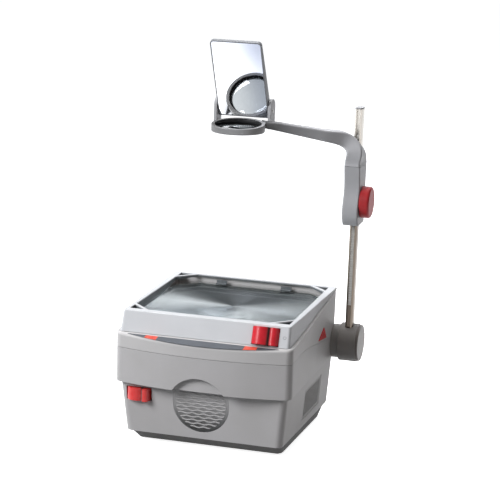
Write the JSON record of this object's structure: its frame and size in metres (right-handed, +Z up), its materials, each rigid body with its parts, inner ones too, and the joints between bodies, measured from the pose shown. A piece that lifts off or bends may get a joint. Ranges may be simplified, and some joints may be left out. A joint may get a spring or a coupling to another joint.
{
  "type": "overhead projector",
  "caption": "Desktop overhead projector: tapered base with glass stage, folding side mast, focusing arm with open lens ring and tilting mirror.",
  "frame": {"origin": "on the table, on the optical axis under the centre of the stage", "axes": "+Z up along the optical axis, -Y the front with the controls, +X the mast side"},
  "size_m": [0.3783, 0.3685, 0.6995],
  "materials": {
    "grey_shell": "fine satin texture",
    "pale_frame": "fine satin texture",
    "arm_grey": "satin",
    "dark_plinth": "matt",
    "hub_dark": "matt",
    "hub_cap_grey": "satin",
    "red_control": "gloss",
    "red_knob": "satin gloss",
    "orange_inlay": "gloss",
    "badge_dark": "satin",
    "rubber": "matt",
    "steel": "brushed",
    "sheet_steel": "galvanised",
    "aluminium": "satin anodised",
    "rack_plastic": "satin",
    "black_plastic": "matt",
    "white_plastic": "satin",
    "brass": "plated",
    "copper_coil": "insulated winding",
    "board_green": "lacquered",
    "ceramic": "unglazed ceramic",
    "clear_glass": "polished",
    "lens_glass": "polished",
    "fresnel_acrylic": "grooved",
    "quartz": "polished",
    "front_mirror": "front-silvered"
  },
  "bodies": {
    "base": {"base_plate": "dark_plinth", "rubber_feet": "rubber", "base_screws": "steel", "lower_shell": "grey_shell", "grip_panel": "grey_shell", "side_vents": "grey_shell", "rear_grille": "grey_shell", "power_inlet": "black_plastic", "inlet_pins": "brass", "middle_housing": "grey_shell", "lid_hinge_pins": "steel", "light_baffle": "sheet_steel", "lamp_house": "sheet_steel", "condenser_lens": "lens_glass", "reflector": "front_mirror", "lamp_track": "steel", "fan_frame": "black_plastic", "transformer_core": "steel", "transformer_coil": "copper_coil", "terminal_board": "board_green", "interlock_switch": "black_plastic", "pivot_bracket": "steel", "pivot_spindle": "steel", "hub_flange": "hub_dark", "changer_pin": "steel"},
    "fan": {"fan_rotor": "black_plastic"},
    "changer": {"changer_knob": "red_control", "changer_lever": "sheet_steel"},
    "lamp_carriage": {"lamp_slide": "sheet_steel", "lamp_sockets": "ceramic", "lamp_capsules": "quartz"},
    "lid": {"lid_shell": "grey_shell", "stage_frame": "pale_frame", "stage_glass": "clear_glass", "fresnel_lens": "fresnel_acrylic", "glass_clips": "pale_frame", "badge_strip": "badge_dark", "badge_accents": "orange_inlay", "switch_body": "black_plastic"},
    "switch": {"power_rocker": "red_control"},
    "latch_r": {"latch_right": "red_control"},
    "latch_l": {"latch_left": "red_control"},
    "mast": {"mast": "aluminium", "mast_cap": "arm_grey", "focus_rack": "rack_plastic", "mast_hub": "hub_dark", "hub_cap": "hub_cap_grey"},
    "carriage": {"carriage_block": "arm_grey", "guide_pads": "white_plastic", "carriage_cover": "arm_grey", "projection_arm": "arm_grey", "lens_ring": "arm_grey", "objective_lens": "lens_glass", "lens_retainer": "arm_grey", "mirror_bracket": "arm_grey"},
    "focus": {"focus_pinion": "steel", "focus_knob": "red_knob"},
    "mirror": {"mirror_housing": "arm_grey", "mirror_glass": "front_mirror", "mirror_pivots": "steel"}
  },
  "joints": [
    {"name": "lid_open", "type": "hinge", "parent": "base", "child": "lid", "pos_m": [0, 0.1575, 0.1565], "axis": [-1, 0, 0], "range_deg": [0, 45]},
    {"name": "mast_fold", "type": "hinge", "parent": "base", "child": "mast", "pos_m": [0.187, 0.138, 0.143], "axis": [-1, 0, 0], "range_deg": [-80, 0]},
    {"name": "focus_slide", "type": "slide", "parent": "mast", "child": "carriage", "axis": [0, 0, -1], "range_m": [-0.06, 0.06]},
    {"name": "focus_turn", "type": "hinge", "parent": "carriage", "child": "focus", "pos_m": [0.187, 0.1149, 0.411], "axis": [1, 0, 0], "range_deg": [-500, 500]},
    {"name": "mirror_tilt", "type": "hinge", "parent": "carriage", "child": "mirror", "pos_m": [-0.004, 0.05148, 0.5717], "axis": [1, 0, 0], "range_deg": [-22, 60]},
    {"name": "changer_press", "type": "hinge", "parent": "base", "child": "changer", "pos_m": [-0.114, -0.1613, 0.097], "axis": [0, 0, 1], "range_deg": [0, 15.64]},
    {"name": "lamp_shift", "type": "slide", "parent": "base", "child": "lamp_carriage", "axis": [-1, 0, 0], "range_m": [0, 0.036]},
    {"name": "power_press", "type": "hinge", "parent": "lid", "child": "switch", "pos_m": [0.1075, -0.16289, 0.22181], "axis": [0, 0.3436, 0.9391], "range_deg": [-14, 0]},
    {"name": "latch_right_press", "type": "slide", "parent": "lid", "child": "latch_r", "axis": [-1, 0, 0], "range_m": [0, 0.003], "stiffness_N_per_m": 600},
    {"name": "latch_left_press", "type": "slide", "parent": "lid", "child": "latch_l", "axis": [1, 0, 0], "range_m": [0, 0.003], "stiffness_N_per_m": 600},
    {"name": "fan_spin", "type": "hinge", "parent": "base", "child": "fan", "pos_m": [-0.072, 0.122, 0.0683], "axis": [0, 1, 0], "continuous": true}
  ],
  "couplings": [
    {"joint": "focus_turn", "follows": "focus_slide", "rad_per_m": 142.86},
    {"joint": "changer_press", "follows": "lamp_shift", "rad_per_m": 7.4853}
  ]
}
